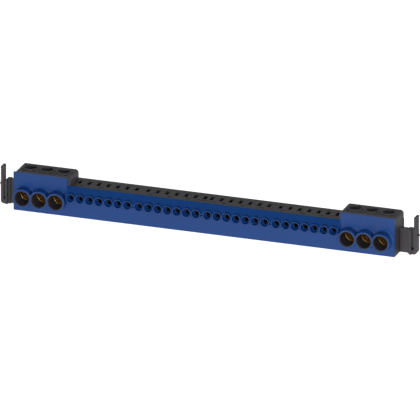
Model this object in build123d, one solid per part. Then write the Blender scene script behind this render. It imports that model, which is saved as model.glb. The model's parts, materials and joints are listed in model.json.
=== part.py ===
from build123d import *
import math
import os

# Neutral terminal strip for a distribution board, in millimetres.
# X runs along the strip, the wires enter from the front (-Y), Z is up.
# The origin is under the middle of the whole strip, at the height of its flat bottom.
# Depths are counted backwards from the flat front face of the blue cover.

# Small push-in terminals, in groups either side of the middle.
port_pitch = 6.0
ports_in_group = 7
groups_each_side = 2
group_gap = 7.2
middle_gap = 7.2
port_below_top = 5.9
port_bridge = 1.1
port_mouth_depth = 1.8
port_funnel_depth = 1.1
port_throat_r = 1.7
port_rim_stand = 3.9
port_rim_wall = 0.5
nose_setback = 0.35
nose_drop = 0.5
nose_hollow_height = 4.6

# Large screw clamps, three at each end.
clamp_pitch = 10.5
clamps_each_side = 3
clamp_z = 9.8
clamp_bridge = 0.7
clamp_rim_wall = 0.9
clamp_rim_stand = 5.5
clamp_rim_chamfer = 0.25
clamp_root_flare = 0.6
clamp_bore_inset = 0.6
sleeve_wall = 0.35
sleeve_setback = 0.35

# Blue front cover and black mouldings.
cover_t = 1.5
front_wall_t = 1.0
rear_cover_t = 1.3
body_depth = 16.8
middle_height = 19.0
end_height = 24.0
floor_t = 1.2
roof_t = 1.3
end_wall_t = 1.7
zone_wall_t = 0.5
block_corner_share = 0.4
cover_step_inset = 1.3
rear_cover_overhang = 0.3
joint_gap = 0.05

# Spring chambers, release slots and the wire holes behind the cover.
divider_t = 1.2
chamber_shift = 0.5
slot_shift = 1.5
slot_width = 2.2
slot_length = 6.0
slot_to_rear = 6.8
wire_window_clear = 0.2

# Latch windows in the top and the tongues of the cover that fill them.
window_shift = 1.5
window_width = 3.0
window_length = 1.1
window_depth_centre = 4.75
tongue_t = 1.0
tongue_clear = 0.1
barb_setback = 0.9
corner_window_width = 2.0
corner_window_inset = 4.1
wide_window_width = 4.5
middle_groove_length = 14.0
middle_groove_width = 0.6
middle_groove_depth = 0.5

# Brass clamp blocks, screws and the folded copper bar.
block_setback = 4.5
block_floor_wall = 1.3
block_end_wall = 1.05
block_clear = 0.1
block_below_top = 5.2
bore_chamfer = 0.6
screw_depth_share = 0.536
screw_r = 3.0
screw_clear = 0.05
screw_below_top = 2.8
screw_tip_above_bore = 0.1
screw_edge_chamfer = 0.5
screw_slot_width = 1.0
screw_slot_depth = 1.8
driver_hole_r = 3.75
driver_boss_r = 5.0
driver_boss_stand = 0.35
bar_t = 1.0
bar_bend_r = 0.3
bar_front_clear = 0.1
bar_past_slot_middle = 1.0
bar_slit_clear = 0.1
bar_notch_clear = 0.1
flange_foot_z = 6.0

# Stainless springs, one bent strip in each chamber.
spring_t = 0.4
spring_side_clear = 0.3
spring_bend_r = 2.2
spring_front_clear = 0.3
spring_rear_clear = 0.6
spring_tip_clear = 0.06
spring_tip_setback = 0.4

# Pins that hold the rear cover.
pin_r = 0.8
pin_length = 4.0
pin_hole_clear = 0.02
group_pin_z = 5.0

# Brackets at both ends, moulded on the housing, each with a springy arm.
web_depth = 10.0
web_t = 2.0
web_length = 5.2
bracket_height = 15.3
bracket_step_length = 1.4
bracket_step_depth = 8.8
bracket_nose_length = 1.2
bracket_nose_depth = 7.0
bracket_rear_depth = 13.2
arm_slot_width = 1.5
arm_t = 1.75
arm_front_depth = 8.1
arm_rear_depth = 12.95
arm_height = 23.6
arm_bridge_height = 2.6
arm_foot_chamfer = 1.1
arm_tip_chamfer = 0.3
arm_tooth_pitch = 1.65
arm_tooth_count = 5
arm_tooth_depth = 0.25
arm_tooth_to_tip = 0.6
arm_peg_r = 0.6
arm_peg_stand = 1.2
arm_peg_z = 11.8

# Places worked out from the sizes above.
face_y = (clamp_rim_stand - body_depth) / 2
inner_front = cover_t + front_wall_t
inner_rear = body_depth - rear_cover_t
port_z = middle_height - port_below_top
port_mouth_r = (port_pitch - port_bridge) / 2
clamp_mouth_r = (clamp_pitch - clamp_bridge) / 2
clamp_bore_r = clamp_mouth_r - clamp_bore_inset
chamber_width = port_pitch - divider_t
spring_width = chamber_width - 2 * spring_side_clear
slot_depth_centre = body_depth - slot_to_rear
slot_front = slot_depth_centre - slot_length / 2
bar_depth_end = slot_depth_centre + bar_past_slot_middle
screw_depth_centre = block_setback + screw_depth_share * (inner_rear - block_setback)
block_corner_r = block_corner_share * (end_height - middle_height)


def small_port_xs():
    """Distances of the small ports from the middle, one side."""
    places = []
    first = middle_gap / 2
    for group in range(groups_each_side):
        for index in range(ports_in_group):
            places.append(first + index * port_pitch)
        first = places[-1] + group_gap
    return places


port_xs = small_port_xs()
zone_x = port_xs[-1] - chamber_shift + chamber_width / 2
pocket_x = zone_x + zone_wall_t
flange_x = pocket_x + bar_bend_r
block_x0 = flange_x + bar_t
first_clamp_x = block_x0 + block_end_wall + clamp_bore_r
clamp_xs = [first_clamp_x + index * clamp_pitch for index in range(clamps_each_side)]
block_x1 = clamp_xs[-1] + clamp_bore_r + block_end_wall
pocket_x1 = block_x1 + block_clear
half_length = pocket_x1 + end_wall_t
cover_step_x = zone_x + cover_step_inset

chamber_top = middle_height - roof_t
block_z0 = clamp_z - clamp_bore_r - block_floor_wall
block_z1 = end_height - block_below_top
pocket_top = block_z1 + block_clear
bar_z0 = port_z + port_throat_r
bar_z1 = bar_z0 + bar_t
screw_z0 = clamp_z + clamp_bore_r + screw_tip_above_bore
screw_length = end_height - screw_below_top - screw_z0

port_collar_r = port_mouth_r + port_rim_wall
clamp_collar_r = clamp_mouth_r + clamp_rim_wall
sleeve_outer_r = clamp_mouth_r - joint_gap
sleeve_bore_r = sleeve_outer_r - sleeve_wall

all_port_xs = [-x for x in reversed(port_xs)] + port_xs
all_clamp_xs = [-x for x in reversed(clamp_xs)] + clamp_xs


def both_sides(places):
    """The same places on the left and on the right."""
    return [-x for x in places] + list(places)


def slab(x0, x1, depth0, depth1, z0, z1):
    """A straight block between two values of X, of depth and of Z."""
    size = (x1 - x0, depth1 - depth0, z1 - z0)
    middle = ((x0 + x1) / 2, face_y + (depth0 + depth1) / 2, (z0 + z1) / 2)
    return Pos(*middle) * Box(*size)


def front_plane(depth):
    """The upright plane at a depth, looking out of the front."""
    return Plane((0, face_y + depth, 0), x_dir=(1, 0, 0), z_dir=(0, -1, 0))


def rounds(places, radius, z, depth0, depth1):
    """Cylinders along Y, all of one radius, between two depths."""
    discs = Sketch() + [Pos(x, z) * Circle(radius) for x in places]
    return extrude(front_plane(depth1) * discs, amount=depth1 - depth0)


def cones(places, z, depth0, radius0, depth1, radius1):
    """Cones along Y, with radius0 at depth0 and radius1 at depth1."""
    length = depth1 - depth0
    cone = Cone(radius0, radius1, length)
    mid = face_y + (depth0 + depth1) / 2
    return [Pos(x, mid, z) * Rot(-90, 0, 0) * cone for x in places]


def stepped_outline(step_x, end_x, low_top, high_top):
    """Front outline of the strip: low in the middle and high at both ends."""
    corners = [
        (-end_x, 0),
        (end_x, 0),
        (end_x, high_top),
        (step_x, high_top),
        (step_x, low_top),
        (-step_x, low_top),
        (-step_x, high_top),
        (-end_x, high_top),
    ]
    return make_face(Polyline(*corners, close=True))


def window_places():
    """Latch windows of the low middle part: X of each one."""
    inner = [x + window_shift for x in port_xs[1:ports_in_group:2]]
    outer = [x + window_shift for x in port_xs[ports_in_group:]]
    return [-x for x in inner + outer[1::2]] + inner + outer[:-1:2]


def end_window_places():
    """Latch windows of one raised end: X and width of each one."""
    between = [x + clamp_pitch / 2 for x in clamp_xs[:-1]]
    windows = [(zone_x + corner_window_inset, corner_window_width)]
    windows += [(x, wide_window_width) for x in between]
    windows.append((half_length - corner_window_inset, corner_window_width))
    return windows


def all_windows():
    """X, width, roof underside and top of every latch window."""
    end_under = end_height - roof_t
    windows = [(x, window_width, chamber_top, middle_height) for x in window_places()]
    for x, width in end_window_places():
        windows.append((x, width, end_under, end_height))
        windows.append((-x, width, end_under, end_height))
    return windows


def make_front_cover():
    """Blue cover: plate, sloped nose, round collars and latch tongues."""
    # The middle is one section: a plate with a nose that slopes up to the top edge.
    nose_front = nose_setback - port_rim_stand
    section = make_face(
        Polyline(
            (face_y + cover_t, 0),
            (face_y + cover_t, middle_height),
            (face_y + nose_front, port_z + nose_drop),
            (face_y + nose_front, port_z),
            (face_y, port_z),
            (face_y, 0),
            close=True,
        )
    )
    body = extrude(Plane.YZ.offset(-cover_step_x) * section, amount=2 * cover_step_x)
    added = [
        slab(-half_length, -cover_step_x, 0, cover_t, 0, end_height),
        slab(cover_step_x, half_length, 0, cover_t, 0, end_height),
    ]

    # Small collars: round rims, merged side by side.
    added.append(rounds(all_port_xs, port_collar_r, port_z, -port_rim_stand, cover_t))

    # Large collars stand further out and flare a little where they leave the plate.
    rim = -clamp_rim_stand
    edge = rim + clamp_rim_chamfer
    added.append(rounds(all_clamp_xs, clamp_collar_r, clamp_z, edge, cover_t))
    added += cones(
        all_clamp_xs, clamp_z, rim, clamp_collar_r - clamp_rim_chamfer, edge, clamp_collar_r
    )
    added += cones(
        all_clamp_xs, clamp_z,
        -clamp_root_flare, clamp_collar_r,
        0, clamp_collar_r + clamp_root_flare,
    )

    # Tongues run back under the roof, and the barb of each snaps into its window.
    barb_front = window_depth_centre - window_length / 2 + tongue_clear
    barb_rear = window_depth_centre + window_length / 2 - tongue_clear
    for x, width, under, top in all_windows():
        half = width / 2 - tongue_clear
        tongue_top = under - tongue_clear
        tongue = make_face(
            Polyline(
                (face_y + cover_t, tongue_top - tongue_t),
                (face_y + cover_t, tongue_top),
                (face_y + barb_front, tongue_top),
                (face_y + barb_front, top - barb_setback),
                (face_y + barb_rear, tongue_top - tongue_t / 2),
                (face_y + barb_rear, tongue_top - tongue_t),
                close=True,
            )
        )
        added.append(extrude(Plane.YZ.offset(x - half) * tongue, amount=2 * half))
    body += added

    # Wire funnels of the small ports and the plain bores of the large ones.
    mouth_end = port_mouth_depth - port_rim_stand
    funnel_end = mouth_end + port_funnel_depth
    cuts = [
        rounds(all_port_xs, port_mouth_r, port_z, -port_rim_stand, mouth_end),
        rounds(all_clamp_xs, clamp_mouth_r, clamp_z, -clamp_rim_stand, cover_t),
    ]
    cuts += cones(all_port_xs, port_z, mouth_end, port_mouth_r, funnel_end, port_throat_r)

    # The nose is hollow behind the funnels, so that its walls stay even.
    hollow_end = port_xs[-1] + port_mouth_r
    hollow = nose_hollow_height / 2
    cuts.append(
        slab(-hollow_end, hollow_end, funnel_end, cover_t, port_z - hollow, port_z + hollow)
    )
    return body - cuts


def make_bracket():
    """Right-hand end bracket: web, stepped nose and a tall springy arm."""
    x_step = half_length + web_length
    x_nose = x_step + bracket_step_length
    x_slot = x_nose + bracket_nose_length
    x_arm = x_slot + arm_slot_width
    x_out = x_arm + arm_t
    plan = Polyline(
        (half_length - end_wall_t / 2, face_y + web_depth),
        (x_step, face_y + web_depth),
        (x_step, face_y + bracket_step_depth),
        (x_nose, face_y + bracket_step_depth),
        (x_nose, face_y + bracket_nose_depth),
        (x_slot, face_y + bracket_nose_depth),
        (x_slot, face_y + bracket_rear_depth),
        (x_step, face_y + bracket_rear_depth),
        (x_step, face_y + web_depth + web_t),
        (half_length - end_wall_t / 2, face_y + web_depth + web_t),
        close=True,
    )
    bracket = extrude(make_face(plan), amount=bracket_height)
    bracket += slab(x_slot, x_arm, arm_front_depth, arm_rear_depth, 0, arm_bridge_height)

    # The arm's outer side is toothed like a saw near the tip.
    teeth_z1 = arm_height - arm_tooth_to_tip
    teeth_z0 = teeth_z1 - arm_tooth_count * arm_tooth_pitch
    side = [(x_arm, 0), (x_out - arm_foot_chamfer, 0), (x_out, arm_foot_chamfer)]
    for tooth in range(arm_tooth_count):
        base = teeth_z0 + tooth * arm_tooth_pitch
        side.append((x_out, base))
        side.append((x_out - arm_tooth_depth, base))
    side.append((x_out, teeth_z1))
    side += [(x_out, arm_height - arm_tip_chamfer), (x_out - arm_tip_chamfer, arm_height)]
    side += [(x_arm + arm_tip_chamfer, arm_height), (x_arm, arm_height - arm_tip_chamfer)]
    arm = extrude(
        front_plane(arm_rear_depth) * make_face(Polyline(*side, close=True)),
        amount=arm_rear_depth - arm_front_depth,
    )
    peg_y = face_y + (arm_front_depth + arm_rear_depth) / 2
    # The peg starts in the middle of the arm, so it holds whatever the teeth beside it do.
    peg_length = arm_t / 2 + arm_peg_stand
    peg_x = x_out + arm_peg_stand - peg_length / 2
    peg = Pos(peg_x, peg_y, arm_peg_z) * Rot(0, 90, 0) * Cylinder(arm_peg_r, peg_length)
    return bracket + arm + peg


def make_housing():
    """Black housing, open at the back, with chambers, pockets and brackets."""
    outline = stepped_outline(zone_x, half_length, middle_height, end_height)
    top_corners = [v for v in outline.vertices() if abs(v.Y - end_height) < 1e-6]
    outline = fillet(top_corners, block_corner_r)
    shell = extrude(front_plane(body_depth) * outline, amount=body_depth - cover_t)
    shell -= slab(
        -half_length, half_length,
        inner_rear, body_depth,
        0, middle_height + joint_gap,
    )

    # Brackets, rings round the driver holes, and sleeves that line the large collars.
    bracket = make_bracket()
    sleeve_front = sleeve_setback - clamp_rim_stand
    boss = Cylinder(
        driver_boss_r, driver_boss_stand, align=(Align.CENTER, Align.CENTER, Align.MIN)
    )
    screw_y = face_y + screw_depth_centre
    added = [Pos(x, screw_y, end_height) * boss for x in all_clamp_xs]
    added.append(rounds(all_clamp_xs, sleeve_outer_r, clamp_z, sleeve_front, cover_t))
    added += [bracket, mirror(bracket, Plane.YZ)]
    shell += added
    cuts = [rounds(all_clamp_xs, sleeve_bore_r, clamp_z, sleeve_front, block_setback)]

    # One chamber for each spring, open at the back, and a square window for each wire.
    chamber = Rectangle(chamber_width, chamber_top - floor_t)
    chamber_z = (chamber_top + floor_t) / 2
    centres = both_sides([x - chamber_shift for x in port_xs])
    chambers = Sketch() + [Pos(x, chamber_z) * chamber for x in centres]
    cuts.append(extrude(front_plane(inner_rear) * chambers, amount=inner_rear - inner_front))
    window = Rectangle(*[2 * (port_throat_r + wire_window_clear)] * 2)
    windows = Sketch() + [Pos(x, port_z) * window for x in all_port_xs]
    cuts.append(extrude(front_plane(inner_front) * windows, amount=front_wall_t))

    # A slit through every divider lets the copper bar in from the back.
    cuts.append(
        slab(
            -pocket_x, pocket_x,
            inner_front, inner_rear,
            bar_z0 - bar_slit_clear, bar_z1 + bar_slit_clear,
        )
    )

    # Release slots beside each port.
    slot = Rectangle(slot_width, slot_length)
    slot_xs = both_sides([x - slot_shift for x in port_xs])
    slots = Sketch() + [Pos(x, face_y + slot_depth_centre) * slot for x in slot_xs]
    cuts.append(extrude(Plane.XY.offset(chamber_top) * slots, amount=roof_t))

    # Pockets for the clamp blocks, with the fold of the bar at their inner end.
    pocket = slab(pocket_x, pocket_x1, block_setback, inner_rear, block_z0, pocket_top)
    fold = slab(
        pocket_x, block_x0,
        inner_front, block_setback,
        bar_z0 - bar_t, bar_z1 + bar_slit_clear,
    )
    cuts += [pocket, fold, mirror(pocket, Plane.YZ), mirror(fold, Plane.YZ)]

    # Round holes above the clamp screws.
    driver_hole = Cylinder(
        driver_hole_r, end_height + driver_boss_stand - pocket_top,
        align=(Align.CENTER, Align.CENTER, Align.MIN),
    )
    cuts += [Pos(x, screw_y, pocket_top) * driver_hole for x in all_clamp_xs]

    # Channels and windows for the tongues of the cover.
    window_rear = window_depth_centre + window_length / 2
    window_front = window_depth_centre - window_length / 2
    for x, width, under, top in all_windows():
        left = x - width / 2
        right = x + width / 2
        channel_z0 = under - 2 * tongue_clear - tongue_t
        cuts.append(slab(left, right, cover_t, window_rear, channel_z0, under))
        cuts.append(slab(left, right, window_front, window_rear, under, top + driver_boss_stand))
    cuts.append(
        slab(
            -middle_groove_length / 2, middle_groove_length / 2,
            window_depth_centre - middle_groove_width / 2,
            window_depth_centre + middle_groove_width / 2,
            middle_height - middle_groove_depth, middle_height,
        )
    )

    # Blind holes for the pins of the rear cover.
    hole_end = inner_rear - pin_length - pin_hole_clear
    for x, z in rear_pins():
        cuts.append(rounds([x], pin_r + pin_hole_clear, z, hole_end, inner_rear))
    return shell - cuts


def rear_pins():
    """X and Z of the rear cover's pins: one in each thick divider and pocket floor."""
    divider_x = port_xs[ports_in_group - 1] - chamber_shift + chamber_width / 2
    divider_x += (group_gap - chamber_width) / 2
    floor_x = (clamp_xs[0] + clamp_xs[-1]) / 2
    places = [(x, group_pin_z) for x in (-divider_x, divider_x)]
    places += [(x, block_z0 / 2) for x in (-floor_x, floor_x)]
    return places


def make_rear_cover():
    """Black plate that closes the back."""
    end = half_length + rear_cover_overhang
    plate = slab(-end, end, inner_rear, body_depth, 0, middle_height)
    for x, z in rear_pins():
        plate += rounds([x], pin_r, z, inner_rear - pin_length, inner_rear)
    return plate


def make_current_bar():
    """Copper bar: a comb over the small terminals, folded down at both ends."""
    outer_x = flange_x + bar_t
    outer_r = bar_bend_r + bar_t
    section = make_face(
        Polyline(
            (-outer_x, flange_foot_z),
            (-outer_x, bar_z1),
            (outer_x, bar_z1),
            (outer_x, flange_foot_z),
            (flange_x, flange_foot_z),
            (flange_x, bar_z0),
            (-flange_x, bar_z0),
            (-flange_x, flange_foot_z),
            close=True,
        )
    )
    outer = [v for v in section.vertices() if abs(v.Y - bar_z1) < 1e-6]
    section = fillet(outer, outer_r)
    inner = [v for v in section.vertices() if abs(v.Y - bar_z0) < 1e-6]
    section = fillet(inner, bar_bend_r)
    front = inner_front + bar_front_clear
    bar = extrude(front_plane(bar_depth_end) * section, amount=bar_depth_end - front)

    # The flanges stand back to the face of the blocks they are brazed to.
    for side in (-1, 1):
        x0 = side * pocket_x
        x1 = side * outer_x
        bar -= slab(
            min(x0, x1), max(x0, x1), front, block_setback, 0, bar_z0 - bar_bend_r
        )

    # Notches let the tip of a screwdriver pass down beside each wire.
    half = slot_width / 2 + bar_notch_clear
    notch_front = slot_front - bar_notch_clear
    notches = [
        slab(x - half, x + half, notch_front, bar_depth_end, bar_z0, bar_z1)
        for x in both_sides([x - slot_shift for x in port_xs])
    ]
    return bar - notches


def make_clamp_block(side):
    """Brass block with a wire bore and a threaded hole for each clamp."""
    x0 = min(side * block_x0, side * block_x1)
    x1 = max(side * block_x0, side * block_x1)
    rear = inner_rear - block_clear
    block = slab(x0, x1, block_setback, rear, block_z0, block_z1)
    places = [side * x for x in clamp_xs]
    block -= rounds(places, clamp_bore_r, clamp_z, block_setback, rear)
    block -= cones(
        places, clamp_z,
        block_setback, clamp_bore_r + bore_chamfer,
        block_setback + bore_chamfer, clamp_bore_r,
    )
    for x in places:
        block -= Pos(x, face_y + screw_depth_centre, clamp_z) * Cylinder(
            screw_r + screw_clear, block_z1 - clamp_z,
            align=(Align.CENTER, Align.CENTER, Align.MIN),
        )
    return block


def make_screw():
    """Slotted clamp screw, drawn with its tip on the origin."""
    half = [
        (0, 0),
        (screw_r - screw_edge_chamfer, 0),
        (screw_r, screw_edge_chamfer),
        (screw_r, screw_length - screw_edge_chamfer),
        (screw_r - screw_edge_chamfer, screw_length),
        (0, screw_length),
    ]
    screw = revolve(Plane.XZ * make_face(Polyline(*half, close=True)), Axis.Z)
    slot = Pos(0, 0, screw_length) * Box(
        2 * screw_r, screw_slot_width, screw_slot_depth,
        align=(Align.CENTER, Align.CENTER, Align.MAX),
    )
    return screw - slot


def make_spring():
    """Bent strip for a push-in terminal, centred on X = 0."""
    outer_r = spring_bend_r + spring_t / 2
    inner_r = spring_bend_r - spring_t / 2
    cy = face_y + inner_front + spring_front_clear + outer_r
    cz = floor_t + outer_r
    tip_y = face_y + bar_depth_end - spring_tip_setback
    tip_z = bar_z0 - spring_tip_clear - spring_t / 2
    reach = math.hypot(tip_y - cy, tip_z - cz)
    lean = math.atan2(tip_z - cz, tip_y - cy) + math.acos(spring_bend_r / reach)
    along = (math.cos(lean), math.sin(lean))
    halfway = (lean + 1.5 * math.pi) / 2
    middle = (math.cos(halfway), math.sin(halfway))
    foot_y = face_y + inner_rear - spring_rear_clear

    def on_bend(radius, way):
        return (cy + radius * way[0], cz + radius * way[1])

    def at_tip(side):
        return (
            tip_y + side * spring_t / 2 * along[0],
            tip_z + side * spring_t / 2 * along[1],
        )

    edges = [
        Line((foot_y, cz - outer_r), (cy, cz - outer_r)),
        ThreePointArc((cy, cz - outer_r), on_bend(outer_r, middle), on_bend(outer_r, along)),
        Line(on_bend(outer_r, along), at_tip(1)),
        Line(at_tip(1), at_tip(-1)),
        Line(at_tip(-1), on_bend(inner_r, along)),
        ThreePointArc(on_bend(inner_r, along), on_bend(inner_r, middle), (cy, cz - inner_r)),
        Line((cy, cz - inner_r), (foot_y, cz - inner_r)),
        Line((foot_y, cz - inner_r), (foot_y, cz - outer_r)),
    ]
    profile = make_face(edges)
    half = spring_width / 2
    return extrude(Plane.YZ.offset(-half) * profile, amount=spring_width)


pieces = {
    "front_cover": make_front_cover(),
    "housing": make_housing(),
    "rear_cover": make_rear_cover(),
    "current_bar": make_current_bar(),
    "left_clamp_block": make_clamp_block(-1),
    "right_clamp_block": make_clamp_block(1),
}

screw = make_screw()
for index, x in enumerate(clamp_xs, 1):
    for side, sign in (("left", -1), ("right", 1)):
        place = Pos(sign * x, face_y + screw_depth_centre, screw_z0)
        pieces[f"{side}_clamp_screw_{index}"] = place * screw

spring = make_spring()
for index, x in enumerate(port_xs, 1):
    for side, sign in (("left", -1), ("right", 1)):
        place = Pos(sign * (x - chamber_shift), 0, 0)
        pieces[f"{side}_spring_{index:02d}"] = place * spring

os.makedirs("parts", exist_ok=True)
for name, piece in pieces.items():
    export_step(piece, f"parts/{name}.step")

print("length over the cover", round(2 * half_length, 2))
print("cover face at Y", round(face_y, 3), "screw tips at Z", round(screw_z0, 2))
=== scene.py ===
# %% [markdown]
# # A neutral terminal strip
# The strip joins the neutral wires of a distribution board. A blue front cover with round
# wire openings clips on a black housing. Inside are a folded copper bar, two brass clamp
# blocks with slotted screws, and one bent spring behind each small opening.
# The solids come from the CAD source, so this file gives them their finishes, makes the
# screws again with the threads that the solids lack, and sets the floor, the light and
# the camera.

# %% Load the solids
import json
import math

import bpy
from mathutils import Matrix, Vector

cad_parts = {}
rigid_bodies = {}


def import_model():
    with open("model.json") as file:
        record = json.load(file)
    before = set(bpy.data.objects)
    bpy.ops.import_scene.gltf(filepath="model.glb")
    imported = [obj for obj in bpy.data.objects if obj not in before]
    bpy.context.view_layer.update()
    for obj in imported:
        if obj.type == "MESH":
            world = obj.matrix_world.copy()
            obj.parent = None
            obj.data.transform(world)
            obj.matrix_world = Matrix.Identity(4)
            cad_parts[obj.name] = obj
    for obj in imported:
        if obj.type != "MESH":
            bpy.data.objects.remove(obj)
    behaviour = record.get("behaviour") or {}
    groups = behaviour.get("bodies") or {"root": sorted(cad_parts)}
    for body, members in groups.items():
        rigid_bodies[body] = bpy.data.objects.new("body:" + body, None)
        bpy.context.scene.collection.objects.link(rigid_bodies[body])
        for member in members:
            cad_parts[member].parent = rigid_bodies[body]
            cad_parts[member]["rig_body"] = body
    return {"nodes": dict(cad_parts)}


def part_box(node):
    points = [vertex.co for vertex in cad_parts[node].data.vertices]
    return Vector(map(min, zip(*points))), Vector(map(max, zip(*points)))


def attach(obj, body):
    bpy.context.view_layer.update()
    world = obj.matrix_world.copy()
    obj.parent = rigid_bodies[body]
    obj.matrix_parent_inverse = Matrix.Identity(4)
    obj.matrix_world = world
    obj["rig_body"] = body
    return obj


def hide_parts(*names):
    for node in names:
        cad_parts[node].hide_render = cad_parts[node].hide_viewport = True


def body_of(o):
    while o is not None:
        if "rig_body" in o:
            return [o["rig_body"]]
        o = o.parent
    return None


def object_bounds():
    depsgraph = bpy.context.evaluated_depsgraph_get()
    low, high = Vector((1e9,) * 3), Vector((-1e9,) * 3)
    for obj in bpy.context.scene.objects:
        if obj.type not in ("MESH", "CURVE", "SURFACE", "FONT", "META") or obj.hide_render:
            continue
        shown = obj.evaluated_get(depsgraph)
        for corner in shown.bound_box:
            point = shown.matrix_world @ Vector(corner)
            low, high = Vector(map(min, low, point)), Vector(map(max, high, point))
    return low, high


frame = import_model()
nodes = frame["nodes"]
MM = 0.001
cad_size = [list(corner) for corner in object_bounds()]
cad_length = (cad_size[1][0] - cad_size[0][0]) / MM
print("solids loaded:", len(nodes), "length in mm:", round(cad_length, 1))

# %% [markdown]
# ## Where the picture was taken from
# The product picture has no vanishing point: the small openings are as far apart at the
# near end as at the far end. A very long lens from far away gives the same flat view, and
# a normal lens nearby would make the near end larger. The picture's scale, 1.682 pixels
# to a millimetre on 420 pixels, sets the distance.

# %% Camera
AZIMUTH = math.radians(19.4)
ELEVATION = math.radians(20.8)
PIXELS_PER_MM = 1.682
PICTURE_PIXELS = 420
AIM_RIGHT = 2.05 * MM
AIM_UP = 12.01 * MM
LENS = 1600.0
SENSOR = 36.0

right = Vector((math.cos(AZIMUTH), math.sin(AZIMUTH), 0.0))
back = Vector((
    math.sin(AZIMUTH) * math.cos(ELEVATION),
    -math.cos(AZIMUTH) * math.cos(ELEVATION),
    math.sin(ELEVATION),
))
up = back.cross(right)
aim = right * AIM_RIGHT + up * AIM_UP
frame_width = PICTURE_PIXELS / PIXELS_PER_MM * MM
distance = frame_width * LENS / SENSOR

camera_data = bpy.data.cameras.new("camera")
camera_data.lens = LENS
camera_data.sensor_width = SENSOR
camera_data.clip_start = 0.1
camera_data.clip_end = 100.0
camera = bpy.data.objects.new("camera", camera_data)
camera.location = aim + back * distance
camera.rotation_mode = "QUATERNION"
camera.rotation_quaternion = (-back).to_track_quat("-Z", "Y")
bpy.context.scene.collection.objects.link(camera)
bpy.context.scene.camera = camera
print("camera stands", round(distance, 2), "m away and sees", round(frame_width / MM, 1), "mm")

# %% [markdown]
# ## Floor and light
# The part lies on a plain pale floor. One wide soft light stands low in front, so the
# upright faces are bright and the hollows in the roof stay dark. A weaker light fills the
# right end, and a small one beside the camera reaches into the ports, as far as the brass.
# The room is pale near the ground and dark overhead: the front mirrors the pale part, and
# the sloped nose and the tops of the collars mirror the dark part.


# %% Floor
FLOOR_HALF = 6.0
FLOOR_DROP = 0.02 * MM


def flat_square(name, half):
    """A square on the ground, with its middle at the origin."""
    mesh = bpy.data.meshes.new(name)
    corners = [(-half, -half, 0), (half, -half, 0), (half, half, 0), (-half, half, 0)]
    mesh.from_pydata(corners, [], [(0, 1, 2, 3)])
    return bpy.data.objects.new(name, mesh)


floor = flat_square("floor", FLOOR_HALF)
floor.location.z = -FLOOR_DROP
floor.visible_diffuse = False
floor.visible_glossy = False
bpy.context.scene.collection.objects.link(floor)
print("floor is", 2 * FLOOR_HALF, "m square")


# %% Lights
def soft_light(name, place, width, height, power):
    """A large area light that looks at the middle of the strip."""
    data = bpy.data.lights.new(name, "AREA")
    data.shape = "RECTANGLE"
    data.size = width
    data.size_y = height
    data.energy = power
    light = bpy.data.objects.new(name, data)
    light.location = place
    look = Vector((0, 0, 0.01)) - Vector(place)
    light.rotation_mode = "QUATERNION"
    light.rotation_quaternion = look.to_track_quat("-Z", "Y")
    bpy.context.scene.collection.objects.link(light)
    return light


lights = [
    soft_light("key_light", (0.14, -1.39, 0.16), 0.6, 0.2, 7.5),
    soft_light("side_light", (1.38, -0.22, 0.3), 0.4, 0.4, 2.6),
    soft_light("port_light", (0.66, -1.10, 0.52), 0.15, 0.15, 1.9),
]
world = bpy.data.worlds.new("studio")
world.use_nodes = True
sky = world.node_tree
direction = sky.nodes.new("ShaderNodeTexCoord")
height = sky.nodes.new("ShaderNodeSeparateXYZ")
fade = sky.nodes.new("ShaderNodeMapRange")
fade.inputs["From Min"].default_value = 0.3
fade.inputs["From Max"].default_value = 0.7
fade.inputs["To Min"].default_value = 0.58
fade.inputs["To Max"].default_value = 0.09
sky.links.new(direction.outputs["Generated"], height.inputs["Vector"])
sky.links.new(height.outputs["Z"], fade.inputs["Value"])
sky.links.new(fade.outputs["Result"], sky.nodes["Background"].inputs["Strength"])
sky.nodes["Background"].inputs["Color"].default_value = (1.0, 1.0, 1.0, 1.0)
bpy.context.scene.world = world
bpy.context.scene.view_settings.view_transform = "Standard"
print("lights:", [light.name for light in lights])

# %% [markdown]
# ## How the finishes are made
# Colours are written as the hex values that a designer would pick on a screen, and one
# function turns them into the linear numbers that the shader works with. Patterns have a
# real size in millimetres, and another function turns that into a texture scale. Each
# pattern reads the object's own coordinates, so it stays on the piece when a screw moves.


# %% Helpers for finishes
def linear(hex_colour):
    """An sRGB hex value as linear red, green, blue and full alpha."""
    values = [int(hex_colour[i:i + 2], 16) / 255 for i in (1, 3, 5)]
    parts = [v / 12.92 if v <= 0.04045 else ((v + 0.055) / 1.055) ** 2.4 for v in values]
    return (*parts, 1.0)


def per_metre(size_mm):
    """The texture scale at which one wave of a pattern is size_mm long."""
    return 1000.0 / size_mm


def add_node(material, kind, inputs=None, **settings):
    """Adds one node with its settings, its values and its links."""
    tree = material.node_tree
    node = tree.nodes.new(kind)
    for name, value in settings.items():
        setattr(node, name, value)
    for socket, value in (inputs or {}).items():
        if isinstance(value, bpy.types.NodeSocket):
            tree.links.new(value, node.inputs[socket])
        else:
            node.inputs[socket].default_value = value
    return node


def new_material(name):
    """An empty node material with its shader and the object's own coordinates."""
    material = bpy.data.materials.new(name)
    material.use_nodes = True
    material.node_tree.nodes.clear()
    place = add_node(material, "ShaderNodeTexCoord").outputs["Object"]
    return material, place


def close_material(material, shader):
    """Joins the shader to the material's output."""
    add_node(material, "ShaderNodeOutputMaterial", {"Surface": shader.outputs["BSDF"]})
    print("finish made:", material.name)
    return material


# %% [markdown]
# ### Pale floor
# A matt board in near-white. It glows a little, the way an overlit studio table does, so
# that it comes out nearly white behind the dark strip. The floor is left out of what the
# strip mirrors and of what lights it, so the glow reaches only the camera.

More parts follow.
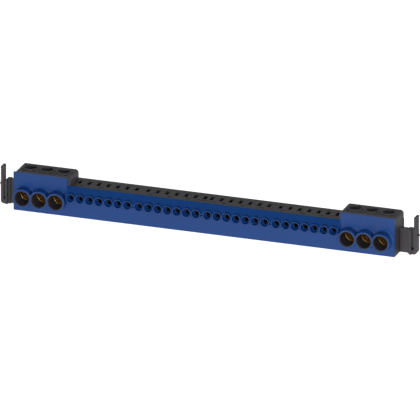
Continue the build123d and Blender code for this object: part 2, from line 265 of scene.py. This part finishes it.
# %% Floor finish
board, place = new_material("matt_white_board")
blotch = add_node(
    board, "ShaderNodeTexNoise", {"Vector": place, "Scale": per_metre(400), "Detail": 2.0}
)
tone = add_node(
    board, "ShaderNodeMix",
    {"Factor": blotch.outputs["Fac"], 6: linear("#F6F6F6"), 7: linear("#FAFAFA")},
    data_type="RGBA",
)
shader = add_node(
    board, "ShaderNodeBsdfPrincipled",
    {
        "Base Color": tone.outputs[2],
        "Roughness": 0.9,
        "Emission Color": linear("#FFFFFF"),
        "Emission Strength": 0.95,
    },
)
close_material(board, shader)
floor.data.materials.append(board)

# %% [markdown]
# ### Blue polyamide
# The cover is moulded from polyamide, a nylon, coloured through. The mould was eroded with
# sparks, which leaves a fine grain: the eye sees a satin blue with soft, wide highlights.
# The real grain is about 0.05 mm, too fine to show, so it is drawn at 0.35 mm. The flow
# of the plastic leaves slow changes of tone, some 20 mm long. The index of 1.53 is
# polyamide's own.


# %% Moulded polyamide
def moulded_polyamide(name, low, high, grain_mm, flow_mm, roughness, bump):
    """Coloured-through nylon with a spark-eroded grain and slow changes of tone."""
    material, place = new_material(name)
    flow = add_node(
        material, "ShaderNodeTexNoise",
        {"Vector": place, "Scale": per_metre(flow_mm), "Detail": 3.0, "Roughness": 0.6},
    )
    tone = add_node(
        material, "ShaderNodeMix",
        {"Factor": flow.outputs["Fac"], 6: linear(low), 7: linear(high)},
        data_type="RGBA",
    )
    grain = add_node(
        material, "ShaderNodeTexNoise",
        {"Vector": place, "Scale": per_metre(grain_mm), "Detail": 4.0, "Roughness": 0.7},
    )
    gloss = add_node(
        material, "ShaderNodeMapRange",
        {
            "Value": grain.outputs["Fac"],
            "From Min": 0.3, "From Max": 0.7,
            "To Min": roughness - 0.06, "To Max": roughness + 0.06,
        },
    )
    rounded = add_node(material, "ShaderNodeBevel", {"Radius": 0.12 * MM}, samples=6)
    surface = add_node(
        material, "ShaderNodeBump",
        {
            "Height": grain.outputs["Fac"],
            "Strength": bump,
            "Distance": 0.02 * MM,
            "Normal": rounded.outputs["Normal"],
        },
    )
    shader = add_node(
        material, "ShaderNodeBsdfPrincipled",
        {
            "Base Color": tone.outputs[2],
            "Roughness": gloss.outputs["Result"],
            "IOR": 1.53,
            "Normal": surface.outputs["Normal"],
        },
    )
    return close_material(material, shader)


blue = moulded_polyamide("moulded_blue_polyamide", "#003C80", "#00428C", 0.35, 20.0, 0.4, 0.5)

# %% [markdown]
# ### Black polyamide
# The housing is the same plastic with carbon black and short glass fibres. Its skin is a
# touch rougher, and dust and handling make it look charcoal instead of pure black.

# %% Black housing finish
black = moulded_polyamide("moulded_black_polyamide", "#38353A", "#454247", 0.4, 15.0, 0.5, 0.6)


# %% [markdown]
# ### Metals
# The clamp blocks are brass, sawn from bar and bored, and a boring tool leaves rings along
# each bore. They are drawn 1.3 mm apart, coarser than real rings, so that light still
# catches them. The current bar is rolled copper. The springs are stainless strip and the screws
# are zinc-plated steel. A metal has no colour of its own under the gloss: its tint is in
# the reflection, so each one is a full metal with its usual roughness.


# %% Worked metals
def worked_metal(name, low, high, line_mm, stretch, roughness, bump, ring_mm):
    """A metal with drawn lines: stretch says how many times longer they are along X, Y, Z."""
    material, place = new_material(name)
    drawn = add_node(
        material, "ShaderNodeMapping",
        {"Vector": place, "Scale": tuple(1.0 / s for s in stretch)},
    )
    lines = add_node(
        material, "ShaderNodeTexNoise",
        {
            "Vector": drawn.outputs["Vector"],
            "Scale": per_metre(line_mm), "Detail": 5.0, "Roughness": 0.65,
        },
    )
    tone = add_node(
        material, "ShaderNodeMix",
        {"Factor": lines.outputs["Fac"], 6: linear(low), 7: linear(high)},
        data_type="RGBA",
    )
    gloss = add_node(
        material, "ShaderNodeMapRange",
        {
            "Value": lines.outputs["Fac"],
            "From Min": 0.3, "From Max": 0.7,
            "To Min": roughness - 0.08, "To Max": roughness + 0.08,
        },
    )
    rings = add_node(
        material, "ShaderNodeTexWave",
        {"Vector": place, "Scale": math.tau / 20 * per_metre(ring_mm), "Distortion": 0.3},
        bands_direction="Y",
    )
    turned = add_node(
        material, "ShaderNodeBump",
        {"Height": rings.outputs["Fac"], "Strength": bump, "Distance": 0.1 * ring_mm * MM},
    )
    surface = add_node(
        material, "ShaderNodeBump",
        {
            "Height": lines.outputs["Fac"],
            "Strength": bump,
            "Distance": 0.01 * MM,
            "Normal": turned.outputs["Normal"],
        },
    )
    shader = add_node(
        material, "ShaderNodeBsdfPrincipled",
        {
            "Base Color": tone.outputs[2],
            "Metallic": 1.0,
            "Roughness": gloss.outputs["Result"],
            "Normal": surface.outputs["Normal"],
        },
    )
    return close_material(material, shader)


brass = worked_metal("machined_brass", "#D29C45", "#EBBF68", 0.3, (1, 12, 1), 0.42, 0.9, 1.3)
copper = worked_metal("rolled_copper", "#C06A45", "#D98863", 0.3, (30, 1, 1), 0.35, 0.4, 0.5)
stainless = worked_metal("stainless_strip", "#A8A49C", "#C6C3BC", 0.25, (1, 20, 20), 0.28, 0.3, 0.3)
zinc = worked_metal("zinc_plated_steel", "#9DA3A8", "#C3C8CC", 0.4, (1, 1, 1), 0.34, 0.3, 0.3)

# %% [markdown]
# ## Threaded clamp screws
# A wire in a large port is held by an M6 screw, turned from free-cutting steel and plated
# with zinc, with its thread rolled or cut at the usual pitch of 1 mm. The CAD screw is a
# plain rod of the thread's outer diameter, so its stand-in here has a helical groove: each
# point's distance from the axis depends on how far round and how far up it is. The slot
# is milled last, as it would be on a real screw.

# %% Cut one thread
THREAD_PITCH = 1.0 * MM
THREAD_DEPTH = 0.55 * MM
END_CHAMFER = 0.5 * MM
SLOT_WIDTH = 1.0 * MM
SLOT_DEPTH = 1.8 * MM
TURN_STEPS = 48
ROWS_PER_TURN = 9


def thread_radius(outer, length, height, turn):
    """Distance from the axis at a height, at a share of a full turn."""
    phase = (height / THREAD_PITCH - turn) % 1.0
    groove = outer - THREAD_DEPTH * abs(2.0 * phase - 1.0)
    from_end = min(height, length - height)
    return min(groove, outer - END_CHAMFER + from_end)


def threaded_rod(name, outer, length):
    """A closed rod along Z with a helical groove and chamfered ends."""
    rows = round(length / THREAD_PITCH * ROWS_PER_TURN)
    points = []
    for row in range(rows + 1):
        height = length * row / rows
        for step in range(TURN_STEPS):
            turn = step / TURN_STEPS
            radius = thread_radius(outer, length, height, turn)
            angle = math.tau * (turn + 0.5 / TURN_STEPS)
            points.append((radius * math.cos(angle), radius * math.sin(angle), height))
    faces = []
    for row in range(rows):
        for step in range(TURN_STEPS):
            here = row * TURN_STEPS + step
            beside = row * TURN_STEPS + (step + 1) % TURN_STEPS
            faces.append((here, beside, beside + TURN_STEPS))
            faces.append((here, beside + TURN_STEPS, here + TURN_STEPS))
    last = rows * TURN_STEPS
    faces.append(tuple(reversed(range(TURN_STEPS))))
    faces.append(tuple(range(last, last + TURN_STEPS)))
    mesh = bpy.data.meshes.new(name)
    mesh.from_pydata(points, [], faces)
    for face in mesh.polygons[:-2]:
        face.use_smooth = True
    return mesh


def block_mesh(name, low, high):
    """A straight block between two corners."""
    xs, ys, zs = zip(low, high)
    corners = [(x, y, z) for z in zs for y in ys for x in xs]
    faces = [(0, 2, 3, 1), (4, 5, 7, 6), (0, 1, 5, 4), (2, 6, 7, 3), (0, 4, 6, 2), (1, 3, 7, 5)]
    mesh = bpy.data.meshes.new(name)
    mesh.from_pydata(corners, [], faces)
    return mesh


def slotted_screw(name, outer, length):
    """A threaded rod with a straight slot milled across its top."""
    scene = bpy.context.scene
    rod = bpy.data.objects.new(name, threaded_rod(name, outer, length))
    low = (-1.5 * outer, -SLOT_WIDTH / 2, length - SLOT_DEPTH)
    high = (1.5 * outer, SLOT_WIDTH / 2, length + SLOT_DEPTH)
    cutter = bpy.data.objects.new("slot_cutter", block_mesh("slot_cutter", low, high))
    scene.collection.objects.link(rod)
    scene.collection.objects.link(cutter)
    milling = rod.modifiers.new("milling", "BOOLEAN")
    milling.operation = "DIFFERENCE"
    milling.solver = "EXACT"
    milling.object = cutter
    milled = rod.evaluated_get(bpy.context.evaluated_depsgraph_get())
    mesh = bpy.data.meshes.new_from_object(milled)
    bpy.data.objects.remove(rod)
    bpy.data.objects.remove(cutter)
    return mesh


screw_names = sorted(name for name in nodes if "clamp_screw" in name)
low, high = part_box(screw_names[0])
screw_mesh = slotted_screw("threaded_screw", (high[0] - low[0]) / 2, high[2] - low[2])
screw_mesh.materials.clear()
screw_mesh.materials.append(zinc)
for name in screw_names:
    low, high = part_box(name)
    screw = bpy.data.objects.new("threaded_" + name, screw_mesh)
    screw.location = ((low[0] + high[0]) / 2, (low[1] + high[1]) / 2, low[2])
    bpy.context.scene.collection.objects.link(screw)
    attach(screw, body_of(nodes[name])[0])
    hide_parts(name)
print("screws threaded:", len(screw_names), "with", len(screw_mesh.polygons), "faces each")

# %% [markdown]
# ## Dressing the solids
# Every other solid keeps its shape and takes the finish of what it is made of.


# %% Give each solid its finish
def dress(name, material):
    """Puts one finish in all the material slots of a solid."""
    mesh = nodes[name].data
    mesh.materials.clear()
    mesh.materials.append(material)


finish_of = {
    "front_cover": blue,
    "housing": black,
    "rear_cover": black,
    "current_bar": copper,
    "left_clamp_block": brass,
    "right_clamp_block": brass,
}
for name in nodes:
    if "spring" in name:
        finish_of[name] = stainless
for name, material in finish_of.items():
    dress(name, material)
print("solids dressed:", len(finish_of), "of", len(nodes))
